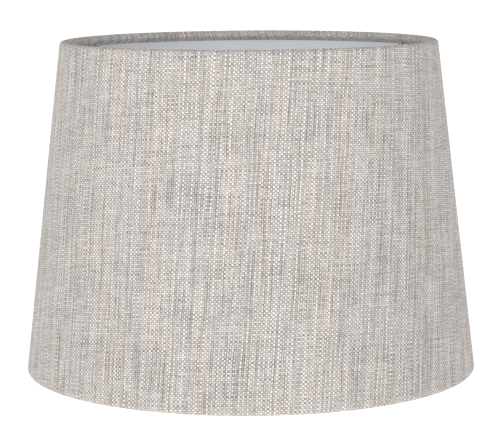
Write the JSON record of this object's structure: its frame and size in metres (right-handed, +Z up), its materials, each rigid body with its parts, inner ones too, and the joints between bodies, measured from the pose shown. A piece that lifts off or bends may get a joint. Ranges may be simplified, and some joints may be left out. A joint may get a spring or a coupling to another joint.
{
  "type": "lamp shade",
  "caption": "Tapered drum lamp shade: woven cloth on a stiff liner, rolled over wire rings, with a spoked fitter and a loose reducer ring.",
  "frame": {"origin": "middle of the bottom rim, on the plane the shade stands on", "axes": "+Z up the shade's axis towards the top rim, -Y to the front, the seam round the back, 20 degrees from +X towards +Y"},
  "size_m": [0.3, 0.3, 0.22],
  "materials": {
    "face_cloth": "grey-beige linen-look plain weave",
    "liner_sheet": "white translucent PVC sheet, satin",
    "tape": "clear double-sided tape, slightly yellow",
    "zinc_wire": "dull grey zinc plate on steel wire and pressed steel",
    "white_plastic": "white moulded plastic, satin"
  },
  "bodies": {
    "shade": {"face_fabric": "face_cloth", "pvc_liner": "liner_sheet", "seam_tape": "tape", "top_ring_tape": "tape", "bottom_ring_tape": "tape", "top_ring": "zinc_wire", "bottom_ring": "zinc_wire", "spoke_1": "zinc_wire", "spoke_2": "zinc_wire", "spoke_3": "zinc_wire", "fitter_ring": "zinc_wire"},
    "reducer": {"reducer_ring": "white_plastic"}
  },
  "joints": [
    {"name": "reducer_lift", "type": "slide", "parent": "shade", "child": "reducer", "axis": [0, 0, 1], "range_m": [0, 0.04]}
  ]
}
